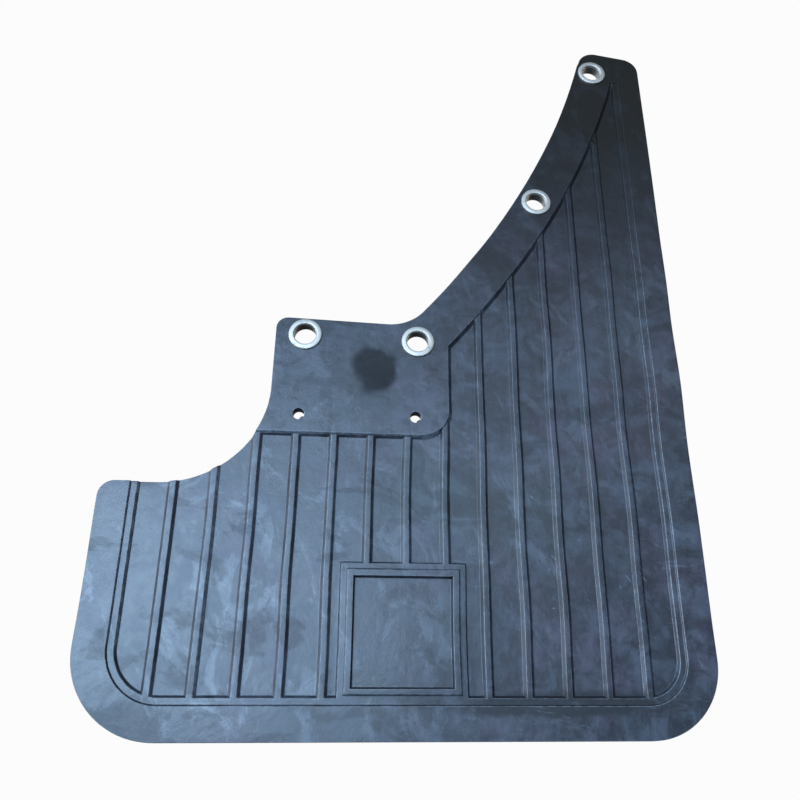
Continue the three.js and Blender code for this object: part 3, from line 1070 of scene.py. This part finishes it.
def metal_material(name, look, wear):
    """Nickel plate with handling marks, a little tarnish, a fine grain and painted shade that darkens the
    bore.
    """
    paint = Paint(name)
    patches = paint.noise(260, 4, 0.6, 0.8)
    dirt = paint.ease(patches, 0.5, 0.74) * (0.5 * wear)
    depth = paint.split(1)
    # Painted shade: metal within the rubber's thickness, chiefly the bore, is darkened
    bore = paint.ease(depth, SKIRT_LOW.y, SKIRT_LOW.y + MM) * paint.ease(depth, 0.5 * MM, -0.5 * MM)
    fine = paint.noise(2600, 2, 0.5)
    wipes = paint.noise(700, 3, 0.6, 0.4, paint.moved((0, 0, 0), 0.6, (3.0, 1, 1)))
    colour_now = paint.mix(dirt, look.plate, look.tarnish)
    colour_now = paint.mix(bore * 0.9 * (0.6 + 0.4 * patches), colour_now, look.bore)
    roughness = look.shine * wear + 0.22 * dirt + 0.1 * wipes
    normal = paint.bump(wipes, 0.15, 0.0001)
    normal = paint.bump(fine, 0.08, 0.00006, normal)
    paint.feed(paint.shader, {
        "Base Color": colour_now, "Metallic": 0.8, "Roughness": roughness, "Normal": normal,
    })
    return paint.material


# ---- The stage ----


def lamp(name, at, aim, width, height, power, tone):
    """A soft rectangular light at a place, turned to look at another."""
    bpy.ops.object.light_add(type="AREA", location=at)
    obj = bpy.context.object
    obj.name = name
    obj.rotation_mode = "QUATERNION"
    obj.rotation_quaternion = (Vector(aim) - Vector(at)).to_track_quat("-Z", "Y")
    light = obj.data
    light.shape = "RECTANGLE"
    light.size, light.size_y = width, height
    light.energy = power
    light.color = tone


def backdrop_material():
    """An even white glow."""
    paint = Paint("backdrop")
    paint.feed(paint.shader, {
        "Base Color": (0, 0, 0, 1), "Roughness": 1.0,
        "Emission Color": (1, 1, 1, 1), "Emission Strength": GLOW,
    })
    return paint.material


def floor_material(stage):
    """A pale matt floor that fades into the backdrop towards its edge."""
    paint = Paint("floor")
    away = paint.vector("LENGTH", paint.coords, output="Value")
    fade_from, fade_to = 0.15 * stage.floor_reach, 0.75 * stage.floor_reach
    far = paint.ease(away, fade_from, fade_to)
    paint.feed(paint.shader, {
        "Base Color": paint.mix(far, stage.floor, (0, 0, 0)), "Roughness": 0.9,
        "Emission Color": paint.mix(far, (0, 0, 0), (1, 1, 1)), "Emission Strength": GLOW,
    })
    return paint.material


class MUDFLAP_OT_stage(bpy.types.Operator):
    """Lay the floor, hang the backdrop, set the lights and place the camera"""

    bl_idname = "mudflap.stage"
    bl_label = "Floor, lights and camera"

    def execute(self, context):
        s = context.scene.mudflap_stage
        bpy.ops.object.select_all(action="DESELECT")
        under = (0, 0, SKIRT_LOW.z - s.floor_drop)
        bpy.ops.mesh.primitive_circle_add(vertices=96, radius=s.floor_reach, fill_type="NGON", location=under)
        floor = rename("floor")
        floor.data.materials.append(floor_material(s))
        bpy.ops.object.select_all(action="DESELECT")
        bpy.ops.mesh.primitive_uv_sphere_add(segments=64, ring_count=32, radius=3.0, location=(0, 0, 0))
        dome = rename("backdrop")
        dome.data.materials.append(backdrop_material())
        for flag in ("diffuse", "glossy", "transmission", "shadow"):
            setattr(dome, f"visible_{flag}", False)
        floor.visible_diffuse = floor.visible_glossy = False
        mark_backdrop(floor, dome)
        aim = (0.03, 0, 0.02)
        low_left = (-0.05, 0, -0.09)
        lamp("key", (-0.54, -1.36, 0.05), low_left, 1.1, 0.6, s.key_power, s.sky)
        lamp("side", (-1.2, -0.16, -0.05), aim, 0.5, 0.9, s.side_power, (0.80, 0.90, 1.0))
        lamp("fill", (0.5, -1.3, 0.5), aim, 0.6, 0.6, s.fill_power, (1.0, 0.98, 0.95))
        lamp("back_left", (-0.9, 1.2, 0.7), aim, 1.0, 1.0, s.back_power, (0.86, 0.93, 1.0))
        lamp("back_right", (1.1, 1.0, 0.5), aim, 0.8, 0.8, s.back_power / 2, (1.0, 0.97, 0.93))
        world = bpy.data.worlds.new("studio")
        context.scene.world = world
        world.use_nodes = True
        background = world.node_tree.nodes["Background"]
        background.inputs["Color"].default_value = ROOM_LIGHT
        background.inputs["Strength"].default_value = s.ambient
        context.scene.view_settings.view_transform = "Standard"
        bpy.ops.object.camera_add(location=CAMERA_AT)
        camera = bpy.context.object
        camera.name = "camera"
        camera.rotation_mode = "QUATERNION"
        camera.rotation_quaternion = Vector(CAMERA_LOOKS).to_track_quat("-Z", "Y")
        camera.data.sensor_width = 36
        camera.data.lens = s.lens
        camera.data.shift_x = camera.data.shift_y = -s.shift
        camera.data.clip_start = 0.01
        context.scene.camera = camera
        return {"FINISHED"}


class MUDFLAP_PT_panel(bpy.types.Panel):
    """Lists the flap's pieces and their sizes"""

    bl_idname = "MUDFLAP_PT_panel"
    bl_label = "Mud Flap"
    bl_space_type = "VIEW_3D"
    bl_region_type = "UI"
    bl_category = "Mud Flap"

    def draw(self, context):
        for operator in OPERATORS:
            self.layout.operator(operator.bl_idname)
        for name, group in SETTINGS.items():
            box = self.layout.box()
            box.label(text=group.__doc__)
            for prop in group.__annotations__:
                box.prop(getattr(context.scene, name), prop)


OPERATORS = (MUDFLAP_OT_rubber, MUDFLAP_OT_eyelets, MUDFLAP_OT_washers, MUDFLAP_OT_stage)
CLASSES = (*SETTINGS.values(), *OPERATORS, MUDFLAP_PT_panel)


def register():
    for cls in CLASSES:
        bpy.utils.register_class(cls)
    for name, group in SETTINGS.items():
        setattr(bpy.types.Scene, name, PointerProperty(type=group))


def unregister():
    for name in SETTINGS:
        delattr(bpy.types.Scene, name)
    for cls in reversed(CLASSES):
        bpy.utils.unregister_class(cls)


def main():
    """Sets the stage, builds the pieces and measures their size beside the frame's."""
    register()
    bpy.ops.mudflap.stage()
    bpy.ops.mudflap.rubber()
    bpy.ops.mudflap.eyelets()
    bpy.ops.mudflap.washers()
    boxes = {"cad": CAD_BOX, "visual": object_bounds()}
    {name: [list(low), list(high)] for name, (low, high) in boxes.items()}


if __name__ == "__main__":
    main()
